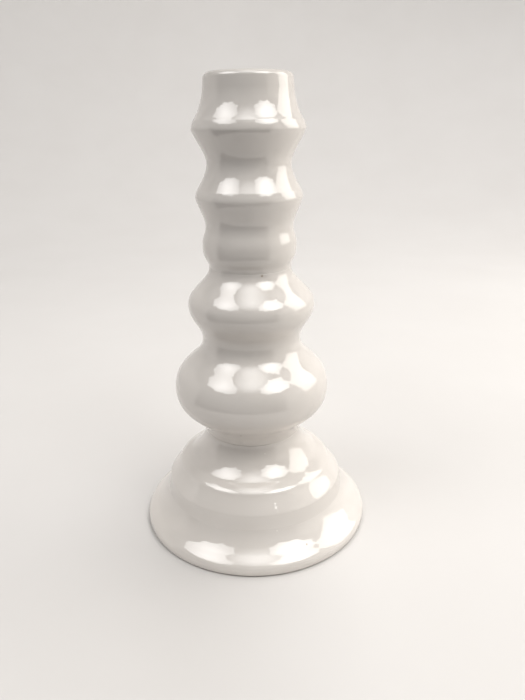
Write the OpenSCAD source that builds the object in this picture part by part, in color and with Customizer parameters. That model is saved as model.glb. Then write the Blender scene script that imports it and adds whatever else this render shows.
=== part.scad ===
// Turned candlestick in four stacked sections under one coat of gloss white.
// Origin: centre of the resting face. +Z is up along the turning axis. Millimetres.
// A station is [radius, height]: the widest, narrowest or sharpest places of the outline.

/* [Foot] */
// Diameter of the foot's underside, where the wood ends above the felt
foot_d = 133.6; // [131:0.2:133.6]
// Largest diameter, on the foot's rounded edge
band_d = 134; // [134:0.5:138]
// Height of the largest diameter above the table
band_z = 3; // [2.5:0.1:3.5]
// Diameter where the flange turns from its rounded edge into its slope
roll_d = 121; // [119:0.5:122.5]
// Height of that turn
roll_z = 9.8; // [9:0.1:11]
// Thickness of the felt under the foot
felt_t = 1; // [0.8:0.1:1.5]
// Diameter of the felt
felt_d = 130; // [120:1:130]

/* [Dome] */
// Diameter of the hollow between flange and dome, where the two sections meet
cove_d = 106.4; // [105.4:0.2:107.4]
// Height of that joint
cove_z = 19.1; // [18.5:0.1:19.7]
// Diameter of the dome's wall where it starts to lean in
shoulder_d = 103.2; // [102:0.2:104.4]
// Height of that place
shoulder_z = 27.4; // [26.8:0.1:28]
// Diameter of the dome's edge, where its wall turns over into its top
edge_d = 90.2; // [89:0.2:91.4]
// Height of the edge
edge_z = 36.3; // [35.8:0.1:36.8]
// Diameter of the flatter ledge inside the edge
ledge_d = 77.2; // [76:0.2:78.4]
// Height of the ledge
ledge_z = 40.9; // [40.4:0.1:41.4]
// Diameter of the sharp neck under the big bulge
neck_d = 56.4; // [54:0.2:58]
// Height of the neck, where dome and column meet
neck_z = 57.6; // [56.6:0.1:58.6]

/* [Lower column] */
// Diameter of the big bulge
bulge_d = 88.6; // [86:0.2:92]
// Height of the big bulge
bulge_z = 84.7; // [83.5:0.1:86]
// Diameter of the waist above the big bulge
waist_d = 55.6; // [53:0.2:58]
// Height of the waist
waist_z = 113.5; // [112:0.1:115]
// Diameter of the barrel bulge
barrel_d = 70.2; // [67:0.2:72]
// Height of the barrel bulge
barrel_z = 133.6; // [132:0.1:135]
// Diameter of the narrow place where the two column sections meet
pinch_d = 44.8; // [43.6:0.2:47]
// Height of that joint
pinch_z = 154.1; // [153:0.1:155.5]

/* [Upper column] */
// Diameter of the small round ring
ring_d = 50.8; // [49.6:0.2:52]
// Height of the small ring
ring_z = 166; // [165:0.1:167]
// Diameter of the hollow above the small ring
hollow_d = 47; // [46:0.2:48]
// Height of that hollow
hollow_z = 176.1; // [175:0.1:177]
// Diameter of the lower sharp ridge
low_ridge_d = 56.6; // [55:0.2:59]
// Height of the lower sharp ridge
low_ridge_z = 190.9; // [190:0.1:192]
// Diameter of the groove between the ridges
groove_d = 44; // [43:0.2:46]
// Height of that groove
groove_z = 207.5; // [206.5:0.1:208.5]
// Diameter of the upper sharp ridge
top_ridge_d = 58.4; // [57:0.2:60]
// Height of the upper sharp ridge
top_ridge_z = 224.2; // [223.5:0.1:225]
// Outside diameter of the cup where its wall straightens above the flare
wall_d = 45.6; // [44.8:0.1:46.4]
// Height of that place
wall_z = 243.5; // [242:0.1:244.5]
// Outside diameter at the rim, where the lip's rounding starts
rim_d = 45; // [44:0.2:46]
// Radius of the rounded lip
lip_round = 3; // [2:0.1:3.4]
// Overall height from table to rim
total_h = 250; // [248:0.5:252]

/* [Candle socket] */
// Inside diameter of the metal cup, for a 22 mm candle
candle_bore_d = 22.5; // [22.3:0.1:23]
// Depth inside the metal cup
cup_depth = 25; // [20:1:28]
// Wall of the metal cup
cup_wall = 0.8; // [0.6:0.1:1]
// Diameter of the cup's flat collar
collar_d = 33.6; // [31:0.2:34]
// How far the rebate for the collar is sunk below the rim
rebate_depth = 2.4; // [2:0.1:3]

/* [Joinery] */
// Diameter of the tenon under the lower column
tenon_d = 22; // [18:1:24]
// Length of that tenon
tenon_len = 12; // [10:1:14]
// Diameter of the wood screw
screw_d = 6; // [5:0.5:6]
// Length of the wood screw under its head
screw_len = 80; // [70:5:90]
// Diameter of the dowel between the column sections
column_dowel_d = 12; // [10:1:14]
// Length of that dowel
column_dowel_len = 40; // [30:2:40]
// Diameter of the dowels between plinth and dome
plinth_dowel_d = 8; // [6:1:8]
// Length of those dowels
plinth_dowel_len = 20; // [16:2:20]
// Diameter of the circle that those dowels stand on
plinth_dowel_circle_d = 68; // [60:2:74]

/* [Hidden] */
$fn = 96;

// Straight pieces in each curved stretch of the outline.
bend_steps = 12;
// A ridge is rounded a little under its tip and more above it: how far in, and how far away.
ridge_under = [0.17, 0.87];
ridge_over = [1.24, 3.97];
// Gap all round a glued peg or a screw in its hole.
glue_gap = 0.05;
// Gap of the same holes past the peg's end.
end_gap = 0.5;
// Room all round the screw where it only passes through.
pass_gap = 0.4;
// Gap all round the loose metal cup.
cup_gap = 0.25;
// Extra length that makes a cut run past a face.
past = 1;

screw_recess_d = 22;
recess_top = felt_t + 9;
washer_d = 18;
washer_t = 1.6;
washer_hole_d = screw_d + 0.6;
head_h = 4;
head_across_flats = 10;
screw_tip = 5;
screw_tip_flat_d = 1;
screw_bottom = recess_top - washer_t;
screw_top = screw_bottom + screw_len;
plinth_dowel_bottom = cove_z - 0.45 * plinth_dowel_len;
plinth_dowel_count = 3;
dowel_chamfer = 0.8;
collar_t = 1;
collar_bottom = total_h - rebate_depth;
cup_top = collar_bottom + collar_t;
cup_r = candle_bore_d / 2 + cup_wall;
mouth_chamfer = 0.5;
cup_floor_gap = 0.8;
rebate_r = collar_d / 2 + 0.4;

foot = [foot_d / 2, felt_t];
band = [band_d / 2, band_z];
roll = [roll_d / 2, roll_z];
cove = [cove_d / 2, cove_z];
shoulder = [shoulder_d / 2, shoulder_z];
edge = [edge_d / 2, edge_z];
ledge = [ledge_d / 2, ledge_z];
neck = [neck_d / 2, neck_z];
bulge = [bulge_d / 2, bulge_z];
waist = [waist_d / 2, waist_z];
barrel = [barrel_d / 2, barrel_z];
pinch = [pinch_d / 2, pinch_z];
ring = [ring_d / 2, ring_z];
hollow = [hollow_d / 2, hollow_z];
groove = [groove_d / 2, groove_z];
wall = [wall_d / 2, wall_z];
rim = [rim_d / 2, total_h - lip_round];
lip = [rim_d / 2 - lip_round, total_h];

// Points along a curved stretch from a up to b, without b itself. It leaves a along the
// vector leave and reaches b along the vector reach; longer vectors make a fuller curve.
function bend(a, b, leave, reach) = [
    for (i = [0 : bend_steps - 1])
        let (t = i / bend_steps, u = 1 - t)
            u * u * u * a + 3 * u * u * t * (a + leave) + 3 * u * t * t * (b - reach) + t * t * t * b
];

// The rounded tip of a sharp ridge, and the two places where its flanks meet the tip.
function under_ridge(d, z) = [d / 2 - ridge_under[0], z - ridge_under[1]];
function over_ridge(d, z) = [d / 2 - ridge_over[0], z + ridge_over[1]];
function ridge_tip(d, z) = bend(under_ridge(d, z), over_ridge(d, z), [0.5, 0.9], [-0.9, 1.9]);

plinth_outline = concat(
    bend(foot, band, [0.2, 0.6], [0, 0.8]),
    bend(band, roll, [0, 3], [-2.3, 1.9]),
    bend(roll, cove, [-3.05, 2.55], [-1.5, 3.55]),
    [cove]);

dome_outline = concat(
    bend(cove, shoulder, [-0.45, 1.1], [-0.45, 2.1]),
    bend(shoulder, edge, [-0.2, 1.1], [-1.5, 2.8]),
    bend(edge, ledge, [-1.05, 2], [-1.55, 1.05]),
    bend(ledge, neck, [-4.45, 3], [0, 6.4]),
    [neck]);

lower_outline = concat(
    bend(neck, bulge, [4, 13], [0, 15.5]),
    bend(bulge, waist, [0, 16.6], [0, 11.7]),
    bend(waist, barrel, [0, 8.8], [0, 9]),
    bend(barrel, pinch, [0, 8.2], [0, 7.5]),
    [pinch]);

upper_outline = concat(
    bend(pinch, ring, [0, 3.8], [0, 7.5]),
    bend(ring, hollow, [0, 4.7], [0, 4.1]),
    bend(hollow, under_ridge(low_ridge_d, low_ridge_z), [0, 4.1], [1.3, 4.8]),
    ridge_tip(low_ridge_d, low_ridge_z),
    bend(over_ridge(low_ridge_d, low_ridge_z), groove, [-2.2, 3.6], [0, 4.6]),
    bend(groove, under_ridge(top_ridge_d, top_ridge_z), [0, 5.2], [1.6, 4.5]),
    ridge_tip(top_ridge_d, top_ridge_z),
    bend(over_ridge(top_ridge_d, top_ridge_z), wall, [-2.6, 3.6], [-0.25, 5.6]),
    bend(wall, rim, [-0.1, 1.2], [-0.1, 1.2]),
    bend(rim, lip, [-0.05, 0.55 * lip_round], [-0.55 * lip_round, 0]),
    [lip]);

// A solid of revolution with the given outline, closed along the axis.
module turned(outline) {
    low = outline[0][1];
    high = outline[len(outline) - 1][1];
    rotate_extrude()
        polygon(concat([[0, low]], outline, [[0, high]]));
}

// A round hole from low to high on the axis.
module bore(d, low, high) {
    translate([0, 0, low])
        cylinder(h = high - low, d = d);
}

// A round peg with both ends chamfered.
module peg(d, low, high) {
    rotate_extrude()
        polygon([[0, low], [d / 2 - dowel_chamfer, low], [d / 2, low + dowel_chamfer],
                 [d / 2, high - dowel_chamfer], [d / 2 - dowel_chamfer, high], [0, high]]);
}

// Puts its children on the circle of dowels between plinth and dome.
module at_plinth_dowels() {
    for (i = [0 : plinth_dowel_count - 1])
        rotate([0, 0, 90 + i * 360 / plinth_dowel_count])
            translate([plinth_dowel_circle_d / 2, 0, 0])
                children();
}

module plinth_dowel_holes() {
    at_plinth_dowels()
        bore(plinth_dowel_d + 2 * glue_gap, plinth_dowel_bottom - end_gap,
             plinth_dowel_bottom + plinth_dowel_len + end_gap);
}

// Disc of felt that closes the screw's recess.
module felt_pad() {
    color("gainsboro")
        cylinder(h = felt_t, d = felt_d);
}

// Foot with the rounded edge band and the flange.
module plinth() {
    color("whitesmoke")
        difference() {
            turned(plinth_outline);
            bore(screw_recess_d, felt_t - past, recess_top);
            bore(screw_d + 2 * pass_gap, recess_top - past, cove_z + past);
            plinth_dowel_holes();
        }
}

// Dome with a ledge and a rounded edge, between the flange and the sharp neck.
module base_dome() {
    color("white")
        difference() {
            turned(dome_outline);
            bore(screw_d + 2 * pass_gap, cove_z - past, neck_z);
            bore(tenon_d + 2 * glue_gap, neck_z - tenon_len - end_gap, neck_z + past);
            plinth_dowel_holes();
        }
}

// Big bulge and barrel bulge, with the tenon that stands in the dome.
module lower_column() {
    color("whitesmoke")
        difference() {
            union() {
                turned(lower_outline);
                bore(tenon_d, neck_z - tenon_len, neck_z + past);
            }
            bore(screw_d + 2 * glue_gap, neck_z - tenon_len - past, screw_top + past);
            bore(column_dowel_d + 2 * glue_gap, pinch_z - column_dowel_len / 2 - end_gap, pinch_z + past);
        }
}

// Small ring, two sharp ridges and the flared cup with the socket.
module upper_column() {
    color("white")
        difference() {
            turned(upper_outline);
            bore(column_dowel_d + 2 * glue_gap, pinch_z - past, pinch_z + column_dowel_len / 2 + end_gap);
            bore(2 * (cup_r + cup_gap), cup_top - cup_depth - cup_wall - cup_floor_gap, total_h);
            bore(2 * rebate_r, collar_bottom, total_h + past);
            translate([0, 0, total_h - mouth_chamfer])
                cylinder(h = 2 * mouth_chamfer, r1 = rebate_r, r2 = rebate_r + 2 * mouth_chamfer);
        }
}

// Thin drop-in metal cup. Its collar lies in the rebate below the rim.
module candle_cup() {
    bore_r = candle_bore_d / 2;
    floor_z = cup_top - cup_depth;
    color("goldenrod")
        rotate_extrude()
            polygon([[0, floor_z - cup_wall], [cup_r, floor_z - cup_wall], [cup_r, collar_bottom],
                     [collar_d / 2, collar_bottom], [collar_d / 2, cup_top],
                     [bore_r + mouth_chamfer, cup_top], [bore_r, cup_top - mouth_chamfer],
                     [bore_r, floor_z], [0, floor_z]]);
}

// Hexagon-head wood screw. Its thread is shown as its outer cylinder.
module base_screw() {
    color("silver")
        union() {
            translate([0, 0, screw_bottom - head_h])
                cylinder(h = head_h, d = head_across_flats / cos(30), $fn = 6);
            rotate_extrude()
                polygon([[0, screw_bottom - past], [screw_d / 2, screw_bottom - past],
                         [screw_d / 2, screw_top - screw_tip], [screw_tip_flat_d / 2, screw_top],
                         [0, screw_top]]);
        }
}

module base_washer() {
    color("silver")
        difference() {
            bore(washer_d, screw_bottom, recess_top);
            bore(washer_hole_d, screw_bottom - past, recess_top + past);
        }
}

module plinth_dowels() {
    color("burlywood")
        at_plinth_dowels()
            peg(plinth_dowel_d, plinth_dowel_bottom, plinth_dowel_bottom + plinth_dowel_len);
}

module column_dowel() {
    color("burlywood")
        peg(column_dowel_d, pinch_z - column_dowel_len / 2, pinch_z + column_dowel_len / 2);
}

felt_pad();
plinth();
base_dome();
lower_column();
upper_column();
candle_cup();
base_screw();
base_washer();
plinth_dowels();
column_dowel();
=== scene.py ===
"""White turned candlestick: smooth turned sections, metal cup, felt, lacquer, studio and camera."""
import math

import bpy
from mathutils import Matrix, Vector, noise


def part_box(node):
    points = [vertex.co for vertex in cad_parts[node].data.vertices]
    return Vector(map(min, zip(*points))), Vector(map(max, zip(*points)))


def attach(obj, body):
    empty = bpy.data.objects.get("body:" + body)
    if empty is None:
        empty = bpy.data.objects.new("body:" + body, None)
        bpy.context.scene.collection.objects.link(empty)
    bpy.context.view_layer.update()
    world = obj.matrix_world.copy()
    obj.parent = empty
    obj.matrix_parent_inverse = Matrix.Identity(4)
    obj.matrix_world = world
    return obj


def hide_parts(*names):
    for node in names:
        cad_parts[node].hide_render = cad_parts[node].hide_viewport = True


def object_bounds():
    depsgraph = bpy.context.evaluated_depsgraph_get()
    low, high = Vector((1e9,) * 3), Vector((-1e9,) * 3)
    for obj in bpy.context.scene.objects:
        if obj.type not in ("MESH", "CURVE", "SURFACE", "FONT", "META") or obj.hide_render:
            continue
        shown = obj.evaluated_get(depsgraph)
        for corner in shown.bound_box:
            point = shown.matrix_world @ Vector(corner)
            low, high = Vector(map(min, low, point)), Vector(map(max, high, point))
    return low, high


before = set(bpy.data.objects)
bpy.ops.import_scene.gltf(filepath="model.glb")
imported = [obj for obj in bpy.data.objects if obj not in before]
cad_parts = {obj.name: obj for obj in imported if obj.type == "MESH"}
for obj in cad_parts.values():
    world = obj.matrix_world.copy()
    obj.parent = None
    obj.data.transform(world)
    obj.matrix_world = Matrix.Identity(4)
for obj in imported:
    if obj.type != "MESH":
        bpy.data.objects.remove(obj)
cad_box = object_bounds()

MM = 0.001

# ---------------------------------------------------------------- sizes taken from the frame
TOTAL_HEIGHT = cad_box[1].z
COLLAR_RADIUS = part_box("candle_cup")[1].x
# Every outside ring is wider than this, and every socket, rebate and screw hole is narrower.
HOLE_LIMIT = COLLAR_RADIUS + 1 * MM
# The metal cup's wall lies at least this far inside its collar's edge.
INSIDE_COLLAR = 1 * MM

# ---------------------------------------------------------------- turned shapes
SEGMENTS = 192
# A turned ring has at least this many vertices at one height and radius. Dowel holes off the
# axis have fewer, and so do the in-between rings on the flat of a facet.
OUTSIDE_VERTICES = 150
INSIDE_VERTICES = 40
SAME_RING = 0.02 * MM
# Heights are rounded to this many decimals of a metre, and closer places than SAME_PLACE are one.
HEIGHT_DECIMALS = 5
SAME_PLACE = 0.01 * MM
ON_AXIS = 0.001 * MM
# The longest step inside a section that isn't straight along a face or a bore.
SLANT_STEP = 1.5 * MM
# Points put between two CAD rings, on a smooth curve through them.
CURVE_STEPS = 4
# A bend over SHARP_ANGLE is rounded: the arc starts this far from it, or ROUND_SHARE of the way to
# the next point where that is less, and it goes through a point at each of ARC_STEPS.
EDGE_ROUND = 0.35 * MM
CUP_EDGE_ROUND = 0.4 * MM
SHARP_ANGLE = math.radians(38)
ROUND_SHARE = 0.4
ARC_STEPS = (0, 0.33, 0.67, 1)
# The hand-finished surface lies up to this much inside the turned one.
WAVER_DEPTH = 0.16 * MM
WAVER_SCALE = 42.0
WAVER_FINE_SCALE = 2.7 * WAVER_SCALE
WAVER_FINE_SHIFT = Vector((5, 3, 1))
WAVER_MEAN, WAVER_COARSE, WAVER_FINE = 0.5, 0.4, 0.1
# The column isn't quite straight: how far it leans towards +X at each height, both in mm.
LEAN = [(10, 0), (30, -0.4), (57, -1.1), (85, -1.2), (110, -0.7), (133, -0.4),
        (160, -0.65), (190, -0.3), (215, 0), (250, 0.35)]
# The felt's cut edge: its bevel and the height of that as shares of the thickness, and how ragged
# the part outside FELT_RIM of the radius is.
FELT_BEVEL = 0.3
FELT_BEVEL_HEIGHT = 0.35
FELT_RIM = 0.9
FELT_RAGGED = 0.004
FELT_RAGGED_SCALE = 900


def cad_rings(node):
    """The rings of a turned CAD node as (radius, height) in metres: outside ones, inside ones."""
    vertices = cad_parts[node].data.vertices
    places = sorted((round(vertex.co.z, HEIGHT_DECIMALS), vertex.co.xy.length) for vertex in vertices)
    rings = []
    for height, radius in places:
        if rings and rings[-1][1] == height and radius - rings[-1][0] < SAME_RING:
            rings[-1][2] += 1
        else:
            rings.append([radius, height, 1])
    outside = [(r, z) for r, z, count in rings if r > HOLE_LIMIT and count >= OUTSIDE_VERTICES]
    inside = [(r, z) for r, z, count in rings if 0 < r <= HOLE_LIMIT and count >= INSIDE_VERTICES]
    return outside, inside


def smooth_curve(points):
    """A centripetal Catmull-Rom curve through the points, from the first to the last."""
    first, second, last, before = points[0], points[1], points[-1], points[-2]
    ends_added = [2 * first - second, *points, 2 * last - before]
    curve = []
    for a, b, c, d in zip(ends_added, ends_added[1:], ends_added[2:], ends_added[3:]):
        t1 = math.sqrt((b - a).length)
        t2 = t1 + math.sqrt((c - b).length)
        t3 = t2 + math.sqrt((d - c).length)
        for step in range(CURVE_STEPS):
            t = t1 + (t2 - t1) * step / CURVE_STEPS
            ab = a * (t1 - t) / t1 + b * t / t1
            bc = b * (t2 - t) / (t2 - t1) + c * (t - t1) / (t2 - t1)
            cd = c * (t3 - t) / (t3 - t2) + d * (t - t2) / (t3 - t2)
            abc = ab * (t2 - t) / t2 + bc * t / t2
            bcd = bc * (t3 - t) / (t3 - t1) + cd * (t - t1) / (t3 - t1)
            curve.append(abc * (t2 - t) / (t2 - t1) + bcd * (t - t1) / (t2 - t1))
    curve.append(last)
    return curve


def walk_inside(start, rings):
    """The inside rings in order from the outline's end: along a face, then along a bore."""
    path, here, level = [], start, True
    left = list(rings)

    def off_line(ring):
        return (abs(ring[1] - here[1]) if level else abs(ring[0] - here[0])) > SAME_PLACE

    while left:
        step = min(left, key=lambda ring: (off_line(ring), math.dist(ring, here)))
        slanted = off_line(step)
        if slanted and math.dist(step, here) > SLANT_STEP:
            break
        path.append(Vector(step))
        left.remove(step)
        level = not level and not slanted
        here = step
    return path, left


def rounded(points, radius, closed):
    """The polyline with each bend over SHARP_ANGLE replaced by a short arc."""
    result = []
    count = len(points)
    for i, point in enumerate(points):
        inner = closed or 0 < i < count - 1
        before, after = points[i - 1], points[(i + 1) % count]
        if not inner or (before - point).angle(point - after) < SHARP_ANGLE:
            result.append(point)
            continue
        cut = min(radius, ROUND_SHARE * (before - point).length, ROUND_SHARE * (after - point).length)
        a = point + (before - point).normalized() * cut
        b = point + (after - point).normalized() * cut
        for t in ARC_STEPS:
            result.append(a * (1 - t) ** 2 + point * (2 * t * (1 - t)) + b * t ** 2)
    return result


def lean(height):
    """How far the column's surface leans towards +X at a height, on a smooth curve."""
    stations = [(z * MM, x * MM) for z, x in LEAN]
    if height <= stations[0][0]:
        return stations[0][1]
    for (z0, x0), (z1, x1) in zip(stations, stations[1:]):
        if height <= z1:
            t = (height - z0) / (z1 - z0)
            return x0 + (x1 - x0) * t * t * (3 - 2 * t)
    return stations[-1][1]


def waver(point):
    """How far a point of the painted surface lies inside the turned one."""
    coarse = noise.noise(point * WAVER_SCALE)
    fine = noise.noise(point * WAVER_FINE_SCALE + WAVER_FINE_SHIFT)
    return WAVER_DEPTH * (WAVER_MEAN + WAVER_COARSE * coarse + WAVER_FINE * fine)


def revolve(name, outline, closed, wavy=False):
    """A closed solid of revolution; an outline that isn't a loop starts and ends on the axis."""
    vertices, faces, rings = [], [], []
    for radius, height in outline:
        if radius < ON_AXIS:
            rings.append([len(vertices)])
            vertices.append(Vector((0, 0, height)))
            continue
        rings.append(list(range(len(vertices), len(vertices) + SEGMENTS)))
        for k in range(SEGMENTS):
            angle = 2 * math.pi * k / SEGMENTS
            place = Vector((radius * math.cos(angle), radius * math.sin(angle), height))
            if wavy and radius > HOLE_LIMIT:
                place.xy = place.xy * (1 - waver(place) / radius)
                place.x += lean(height)
            vertices.append(place)
    pairs = list(zip(rings, rings[1:] + rings[:1] if closed else rings[1:]))
    for lower, upper in pairs:
        for k in range(SEGMENTS):
            n = (k + 1) % SEGMENTS
            if len(lower) == 1:
                faces.append((lower[0], upper[n], upper[k]))
            elif len(upper) == 1:
                faces.append((lower[k], lower[n], upper[0]))
            else:
                faces.append((lower[k], lower[n], upper[n], upper[k]))
    mesh = bpy.data.meshes.new(name)
    mesh.from_pydata(vertices, [], faces)
    mesh.polygons.foreach_set("use_smooth", [True] * len(faces))
    mesh.set_sharp_from_angle(angle=SHARP_ANGLE)
    piece = bpy.data.objects.new(name, mesh)
    bpy.context.collection.objects.link(piece)
    return piece


def turned_section(node, name):
    """A smooth copy of a turned CAD section, with its bores, from the bottom edge upwards."""
    outside, inside = cad_rings(node)
    curve = smooth_curve([Vector(ring) for ring in outside])
    down, rest = walk_inside(outside[-1], inside)
    up, rest = walk_inside(outside[0], rest)
    through = not up and abs(down[-1].y - outside[0][1]) < SAME_PLACE
    outline = curve + down
    if not through:
        outline = [Vector((0, up[-1].y if up else outside[0][1]))] + up[::-1] + outline
        outline.append(Vector((0, down[-1].y)))
    return revolve(name, rounded(outline, EDGE_ROUND, through), through, wavy=True)


def spun_cup(name):
    """The metal cup with softly rounded edges, inside the CAD cup's own box."""
    low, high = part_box("candle_cup")
    rings = cad_rings("candle_cup")[1]
    wall = sorted(ring for ring in rings if ring[0] < COLLAR_RADIUS - INSIDE_COLLAR)
    bore_radius, cup_radius = wall[0][0], wall[-1][0]
    collar_under = max(ring[1] for ring in rings if abs(ring[0] - cup_radius) < SAME_PLACE)
    floor = min(ring[1] for ring in rings if abs(ring[0] - bore_radius) < SAME_PLACE)
    mouth = max(ring[0] for ring in wall if ring[1] > high.z - SAME_PLACE)
    outline = [(0, low.z), (cup_radius, low.z), (cup_radius, collar_under), (COLLAR_RADIUS, collar_under),
               (COLLAR_RADIUS, high.z), (mouth, high.z), (bore_radius, high.z - (mouth - bore_radius)),
               (bore_radius, floor), (0, floor)]
    return revolve(name, rounded([Vector(p) for p in outline], CUP_EDGE_ROUND, False), False)


def felt_disc(name):
    """The felt with a softly rounded, slightly uneven cut edge."""
    low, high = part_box("felt_pad")
    radius = high.x
    bevel = FELT_BEVEL * (high.z - low.z)
    side = FELT_BEVEL_HEIGHT * (high.z - low.z)
    outline = [(0, low.z), (radius - bevel, low.z), (radius, low.z + side),
               (radius, high.z - side), (radius - bevel, high.z), (0, high.z)]
    piece = revolve(name, rounded([Vector(p) for p in outline], bevel, False), False)
    for vertex in piece.data.vertices:
        if vertex.co.xy.length > FELT_RIM * radius:
            ragged = 0.5 + 0.5 * noise.noise(vertex.co * FELT_RAGGED_SCALE)
            vertex.co.xy = vertex.co.xy * (1 - FELT_RAGGED * ragged)
    return piece


# ---------------------------------------------------------------- materials
# Pinholes and specks in the paint, and painted highlights (the cream dots, glints of a small lamp): azimuth
# (0 is the camera's side, positive to the right), radius, height and radius of the speck or glint in mm, then
# its colour.
BROWN, SAND, PAINTED_GLINT = (0.16, 0.10, 0.07), (0.42, 0.35, 0.28), (0.85, 0.82, 0.76)
SPECKS_AND_GLINTS = [(-12.4, 35.5, 68.0, 0.7, BROWN), (-86, 30.0, 53.7, 0.9, SAND), (27, 60.1, 10.1, 0.8, SAND),
          (14, 22.3, 153.3, 0.8, SAND), (11, 28.9, 52.8, 0.5, PAINTED_GLINT), (12.7, 48.9, 31.0, 0.5, PAINTED_GLINT),
          (12, 53.3, 18.6, 0.5, PAINTED_GLINT)]
# The middle of a speck or a painted glint, as a share of its radius, has its full colour.
SPOT_CORE = 0.4


def new_material(name):
    material = bpy.data.materials.new(name)
    material.use_nodes = True
    return material, material.node_tree, material.node_tree.nodes["Principled BSDF"]


def object_noise(tree, scale, detail=3.0, roughness=0.5, stretch=(1, 1, 1)):
    """A noise texture's factor over the object's own coordinates."""
    coordinates = tree.nodes.new("ShaderNodeTexCoord")
    mapping = tree.nodes.new("ShaderNodeMapping")
    mapping.inputs["Scale"].default_value = stretch
    texture = tree.nodes.new("ShaderNodeTexNoise")
    texture.inputs["Scale"].default_value = scale
    texture.inputs["Detail"].default_value = detail
    texture.inputs["Roughness"].default_value = roughness
    tree.links.new(coordinates.outputs["Object"], mapping.inputs["Vector"])
    tree.links.new(mapping.outputs["Vector"], texture.inputs["Vector"])
    return texture.outputs["Fac"]


def ramp(tree, factor, stops):
    """A colour ramp over factor; stops are (position, (r, g, b))."""
    node = tree.nodes.new("ShaderNodeValToRGB")
    elements = node.color_ramp.elements
    while len(elements) < len(stops):
        elements.new(0.5)
    for element, (position, color) in zip(elements, stops):
        element.position = position
        element.color = (*color, 1)
    tree.links.new(factor, node.inputs["Fac"])
    return node.outputs["Color"]


def bump(tree, shader, height, strength, distance, socket="Normal"):
    """Bumps the shader's surface, or its coat, by a height."""
    node = tree.nodes.new("ShaderNodeBump")
    node.inputs["Strength"].default_value = strength
    node.inputs["Distance"].default_value = distance
    tree.links.new(height, node.inputs["Height"])
    tree.links.new(node.outputs["Normal"], shader.inputs[socket])


def spread(tree, factor, low, high):
    """Maps a factor from 0..1 to low..high."""
    node = tree.nodes.new("ShaderNodeMapRange")
    node.inputs["To Min"].default_value = low
    node.inputs["To Max"].default_value = high
    tree.links.new(factor, node.inputs["Value"])
    return node.outputs["Result"]


def with_specks_and_glints(tree, color):
    """The colour with the paint's few pinholes and specks on it, and a few painted highlights."""
    coordinates = tree.nodes.new("ShaderNodeTexCoord")
    for azimuth, radius, height, size, tone in SPECKS_AND_GLINTS:
        a = math.radians(azimuth)
        away = tree.nodes.new("ShaderNodeVectorMath")
        away.operation = "DISTANCE"
        away.inputs[1].default_value = Vector((math.sin(a) * radius, -math.cos(a) * radius, height)) * MM
        cover = tree.nodes.new("ShaderNodeMapRange")
        cover.inputs["From Min"].default_value = size * MM
        cover.inputs["From Max"].default_value = SPOT_CORE * size * MM
        mix = tree.nodes.new("ShaderNodeMixRGB")
        mix.inputs["Color2"].default_value = (*tone, 1)
        tree.links.new(coordinates.outputs["Object"], away.inputs[0])
        tree.links.new(away.outputs["Value"], cover.inputs["Value"])
        tree.links.new(cover.outputs["Result"], mix.inputs["Fac"])
        tree.links.new(color, mix.inputs["Color1"])
        color = mix.outputs["Color"]
    return color


def white_lacquer():
    """Opaque warm white under a clear, very glossy top coat, with a faint orange peel."""
    material, tree, shader = new_material("white_lacquer")
    tone = object_noise(tree, scale=26, detail=4, roughness=0.55)
    color = ramp(tree, tone, [(0.3, (0.690, 0.650, 0.605)), (0.7, (0.725, 0.685, 0.643))])
    # The cream dots put on here are painted highlights, glints of a small lamp; the brown and sand ones are
    # real pinholes and specks.
    tree.links.new(with_specks_and_glints(tree, color), shader.inputs["Base Color"])
    under_coat = spread(tree, object_noise(tree, scale=60), low=0.5, high=0.62)
    tree.links.new(under_coat, shader.inputs["Roughness"])
    shader.inputs["Specular IOR Level"].default_value = 0.1
    shader.inputs["Coat Weight"].default_value = 1.0
    shader.inputs["Coat Roughness"].default_value = 0.012
    shader.inputs["Coat IOR"].default_value = 1.9
    orange_peel = object_noise(tree, scale=260, detail=2)
    bump(tree, shader, orange_peel, strength=0.06, distance=0.4 * MM, socket="Coat Normal")
    bump(tree, shader, object_noise(tree, scale=700), strength=0.08, distance=0.2 * MM)
    return material


def spun_brass():
    """Satin brass with fine rings from spinning."""
    material, tree, shader = new_material("cup_metal")
    tarnish = object_noise(tree, scale=70, detail=5, roughness=0.6)
    color = ramp(tree, tarnish, [(0.35, (0.50, 0.33, 0.12)), (0.65, (0.72, 0.53, 0.24))])
    tree.links.new(color, shader.inputs["Base Color"])
    shader.inputs["Metallic"].default_value = 1.0
    tree.links.new(spread(tree, tarnish, low=0.24, high=0.42), shader.inputs["Roughness"])
    coordinates = tree.nodes.new("ShaderNodeTexCoord")
    rings = tree.nodes.new("ShaderNodeTexWave")
    rings.wave_type = "RINGS"
    rings.rings_direction = "Z"
    rings.inputs["Scale"].default_value = 700
    rings.inputs["Distortion"].default_value = 0.6
    tree.links.new(coordinates.outputs["Object"], rings.inputs["Vector"])
    bump(tree, shader, rings.outputs["Fac"], strength=0.15, distance=0.05 * MM)
    return material


def zinc():
    """Bright zinc plating with a faint crystal mottle."""
    material, tree, shader = new_material("screw_steel")
    mottle = object_noise(tree, scale=300)
    tree.links.new(ramp(tree, mottle, [(0.3, (0.46, 0.47, 0.49)), (0.7, (0.62, 0.63, 0.64))]),
                   shader.inputs["Base Color"])
    shader.inputs["Metallic"].default_value = 1.0
    tree.links.new(spread(tree, mottle, low=0.28, high=0.4), shader.inputs["Roughness"])
    return material


def beech():
    """Bare beech with short grain along the dowel."""
    material, tree, shader = new_material("dowel_wood")
    grain = object_noise(tree, scale=120, detail=5, roughness=0.6, stretch=(6, 6, 0.7))
    tree.links.new(ramp(tree, grain, [(0.3, (0.42, 0.26, 0.13)), (0.7, (0.62, 0.44, 0.26))]),
                   shader.inputs["Base Color"])
    shader.inputs["Roughness"].default_value = 0.65
    bump(tree, shader, grain, strength=0.2, distance=0.1 * MM)
    return material


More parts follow.
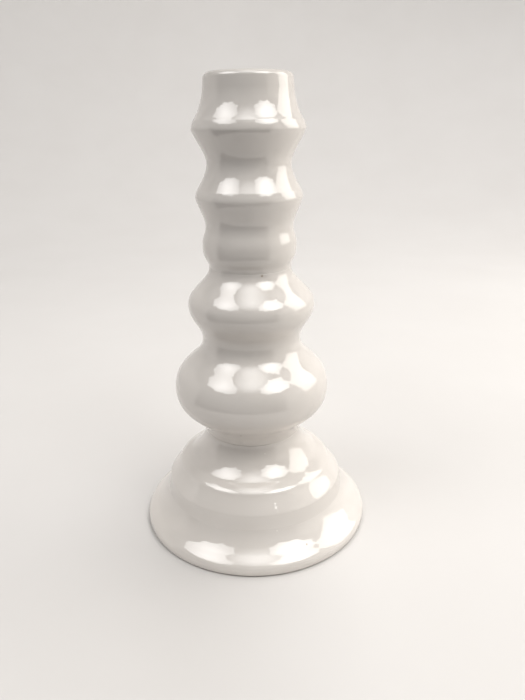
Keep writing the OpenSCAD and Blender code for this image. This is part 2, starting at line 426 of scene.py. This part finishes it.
def brown_felt():
    """Pressed felt: short matted fibres in two dark browns."""
    material, tree, shader = new_material("felt")
    fibres = object_noise(tree, scale=1400, detail=6, roughness=0.7)
    tree.links.new(ramp(tree, fibres, [(0.35, (0.075, 0.055, 0.040)), (0.65, (0.17, 0.135, 0.105))]),
                   shader.inputs["Base Color"])
    shader.inputs["Roughness"].default_value = 0.95
    shader.inputs["Sheen Weight"].default_value = 0.4
    shader.inputs["Sheen Roughness"].default_value = 0.6
    bump(tree, shader, fibres, strength=0.7, distance=0.3 * MM)
    return material


def dress(piece, material):
    piece.data.materials.clear()
    piece.data.materials.append(material)


# ---------------------------------------------------------------- the object
lacquer = white_lacquer()
SECTIONS = {"plinth": "foot_and_flange", "base_dome": "stepped_dome",
            "lower_column": "bulge_and_barrel", "upper_column": "ridges_and_cup"}
for node, name in SECTIONS.items():
    section = turned_section(node, name)
    dress(section, lacquer)
    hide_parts(node)
    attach(section, "candlestick")

cup = spun_cup("metal_candle_cup")
dress(cup, spun_brass())
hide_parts("candle_cup")
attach(cup, "cup")

felt = felt_disc("felt_under_foot")
dress(felt, brown_felt())
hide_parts("felt_pad")
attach(felt, "candlestick")

steel, dowel_wood = zinc(), beech()
for node, material in {"base_screw": steel, "base_washer": steel,
                       "plinth_dowels": dowel_wood, "column_dowel": dowel_wood}.items():
    dress(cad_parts[node], material)

# ---------------------------------------------------------------- studio
FLOOR_RADIUS = 0.75
SWEEP_RADIUS = 1.1
SWEEP_STEPS = 24
SECTOR_STEP = 4
NEAR_RADIUS = 0.25
# The paper between these azimuths is seen, but the dark room in front is what the object faces.
DARK_START, DARK_END = -84, 48
AIR_COLOR = (0.80, 0.80, 0.82)
AIR_STRENGTH = 0.19


def sweep_outline():
    """The paper from the near part's edge outwards: flat, then curving up into a wall."""
    outline = [(NEAR_RADIUS, 0), (FLOOR_RADIUS * 0.5, 0), (FLOOR_RADIUS, 0)]
    for step in range(1, SWEEP_STEPS + 1):
        angle = math.pi / 2 * step / SWEEP_STEPS
        outline.append((FLOOR_RADIUS + SWEEP_RADIUS * math.sin(angle),
                        SWEEP_RADIUS * (1 - math.cos(angle))))
    return outline


def paper_sector(name, material, outline, start, end):
    """Part of a round paper with the outline (radius, height), between two azimuths in degrees."""
    sectors = round((end - start) / SECTOR_STEP)
    vertices, faces = [], []
    for k in range(sectors + 1):
        angle = math.radians(start + (end - start) * k / sectors)
        for radius, height in outline:
            vertices.append((radius * math.sin(angle), -radius * math.cos(angle), height))
        for row in range(len(outline) - 1):
            if k:
                near = len(outline) * (k - 1) + row
                far = near + len(outline)
                faces.append((near, near + 1, far + 1, far))
    mesh = bpy.data.meshes.new(name)
    mesh.from_pydata(vertices, [], faces)
    mesh.polygons.foreach_set("use_smooth", [True] * len(faces))
    mesh.materials.append(material)
    sector = bpy.data.objects.new(name, mesh)
    bpy.context.collection.objects.link(sector)
    return sector


def pale_paper():
    material, tree, shader = new_material("pale_paper")
    tone = object_noise(tree, scale=9)
    tree.links.new(ramp(tree, tone, [(0.3, (0.645, 0.626, 0.608)), (0.7, (0.660, 0.642, 0.625))]),
                   shader.inputs["Base Color"])
    shader.inputs["Roughness"].default_value = 0.8
    shader.inputs["Specular IOR Level"].default_value = 0.2
    return material


def studio_paper():
    """The paper round the object. The part in front sends no light back to the object."""
    material = pale_paper()
    paper_sector("near_paper", material, [(0, 0), (NEAR_RADIUS, 0)], -180, 180)
    paper_sector("back_paper", material, sweep_outline(), DARK_END, 360 + DARK_START)
    front = paper_sector("front_paper", material, sweep_outline(), DARK_START, DARK_END)
    front.visible_diffuse = False
    front.visible_glossy = False


def glow(name, color, core, edge, reach):
    """A light that is brightest in the middle of its panel and softer at reach from it."""
    material = bpy.data.materials.new(name)
    material.use_nodes = True
    tree = material.node_tree
    tree.nodes.clear()
    coordinates = tree.nodes.new("ShaderNodeTexCoord")
    away = tree.nodes.new("ShaderNodeVectorMath")
    away.operation = "LENGTH"
    strength = tree.nodes.new("ShaderNodeMapRange")
    strength.interpolation_type = "SMOOTHSTEP"
    strength.inputs["From Max"].default_value = reach
    strength.inputs["To Min"].default_value = core
    strength.inputs["To Max"].default_value = edge
    emission = tree.nodes.new("ShaderNodeEmission")
    emission.inputs["Color"].default_value = (*color, 1)
    output = tree.nodes.new("ShaderNodeOutputMaterial")
    tree.links.new(coordinates.outputs["Object"], away.inputs[0])
    tree.links.new(away.outputs["Value"], strength.inputs["Value"])
    tree.links.new(strength.outputs["Result"], emission.inputs["Strength"])
    tree.links.new(emission.outputs["Emission"], output.inputs["Surface"])
    return material


def light_panel(name, azimuth, reach, height, outline, material):
    """
    A glowing panel of the given outline in metres, turned to the object and unseen by the camera.
    Azimuth 0 is towards the camera and positive to the right; reach is along the floor.
    """
    a = math.radians(azimuth)
    place = Vector((math.sin(a) * reach, -math.cos(a) * reach, height))
    away = place - Vector((0, 0, TOTAL_HEIGHT / 2))
    mesh = bpy.data.meshes.new(name)
    vertices = [(0, 0, 0)] + [(x, y, 0) for x, y in outline]
    count = len(outline)
    faces = [(0, 1 + k, 1 + (k + 1) % count) for k in range(count)]
    mesh.from_pydata(vertices, [], faces)
    mesh.materials.append(material)
    panel = bpy.data.objects.new(name, mesh)
    facing = away.to_track_quat("Z", "Y").to_matrix()
    panel.matrix_world = Matrix.Translation(place) @ facing.to_4x4()
    bpy.context.collection.objects.link(panel)
    panel.visible_camera = False
    return panel


def umbrella(half_width, half_height, ribs=8, scallop=0.06):
    """Outline of an umbrella reflector: rib tips with the cloth drawn in a little between them."""
    points = []
    for rib in range(ribs):
        for part, pull in ((0, 0), (1 / 3, scallop), (2 / 3, scallop)):
            angle = 2 * math.pi * (rib + part) / ribs
            chord = math.cos(math.pi / ribs) / math.cos(2 * math.pi * part / ribs - math.pi / ribs)
            reach = chord - pull
            points.append((half_width * reach * math.cos(angle), half_height * reach * math.sin(angle)))
    return points


def oblong(width, height):
    return [(-width / 2, -height / 2), (width / 2, -height / 2), (width / 2, height / 2),
            (-width / 2, height / 2)]


studio_paper()
light_panel("left_umbrella", azimuth=-64, reach=1.09, height=1.43, outline=umbrella(0.80, 0.45),
            material=glow("left_light", (1.0, 0.985, 0.97), core=4.7, edge=2.1, reach=0.75))
light_panel("right_umbrella", azimuth=48, reach=1.09, height=1.43, outline=umbrella(0.72, 0.48),
            material=glow("right_light", (1.0, 0.985, 0.96), core=6.0, edge=2.8, reach=0.65))
light_panel("window", azimuth=98, reach=0.90, height=0.56, outline=oblong(0.60, 0.77),
            material=glow("window_light", (1.0, 0.96, 0.90), core=3.4, edge=2.6, reach=0.5))
light_panel("front_top", azimuth=0, reach=0.65, height=1.8,
            outline=umbrella(1.0, 1.0, ribs=24, scallop=0),
            material=glow("front_light", (1.0, 0.99, 0.98), core=2.9, edge=0.0, reach=1.0))
backdrop_light = light_panel("backdrop_light", azimuth=152, reach=1.1, height=1.5,
                             outline=oblong(1.6, 0.8),
                             material=glow("backdrop_glow", (1.0, 0.99, 0.98), core=4.9, edge=4.9, reach=0.7))
backdrop_light.visible_glossy = False

world = bpy.data.worlds.new("studio_air")
bpy.context.scene.world = world
world.use_nodes = True
air = world.node_tree.nodes["Background"]
air.inputs["Color"].default_value = (*AIR_COLOR, 1)
air.inputs["Strength"].default_value = AIR_STRENGTH

# ---------------------------------------------------------------- camera
# The photo's camera: metres, degrees, and millimetres for the lens and the sensor.
CAMERA_DISTANCE = 0.3185
CAMERA_HEIGHT = 0.2267
CAMERA_PITCH = 21.0
CAMERA_YAW = 0.98
CAMERA_ROLL = -0.83
CAMERA_LENS = 30.46
SENSOR_WIDTH = 36
NEAREST_SEEN = 0.01


def photo_camera():
    pitch, yaw, roll = (math.radians(v) for v in (CAMERA_PITCH, CAMERA_YAW, CAMERA_ROLL))
    forward = Vector((math.sin(yaw) * math.cos(pitch), math.cos(yaw) * math.cos(pitch), -math.sin(pitch)))
    level = forward.cross(Vector((0, 0, 1))).normalized()
    upright = level.cross(forward)
    right = level * math.cos(roll) + upright * math.sin(roll)
    up = upright * math.cos(roll) - level * math.sin(roll)
    data = bpy.data.cameras.new("camera")
    data.lens = CAMERA_LENS
    data.sensor_width = SENSOR_WIDTH
    data.clip_start = NEAREST_SEEN
    camera = bpy.data.objects.new("camera", data)
    turn = Matrix((right, up, -forward)).transposed()
    camera.matrix_world = Matrix.Translation((0, -CAMERA_DISTANCE, CAMERA_HEIGHT)) @ turn.to_4x4()
    bpy.context.collection.objects.link(camera)
    bpy.context.scene.camera = camera


photo_camera()
bpy.context.scene.view_settings.view_transform = "Standard"
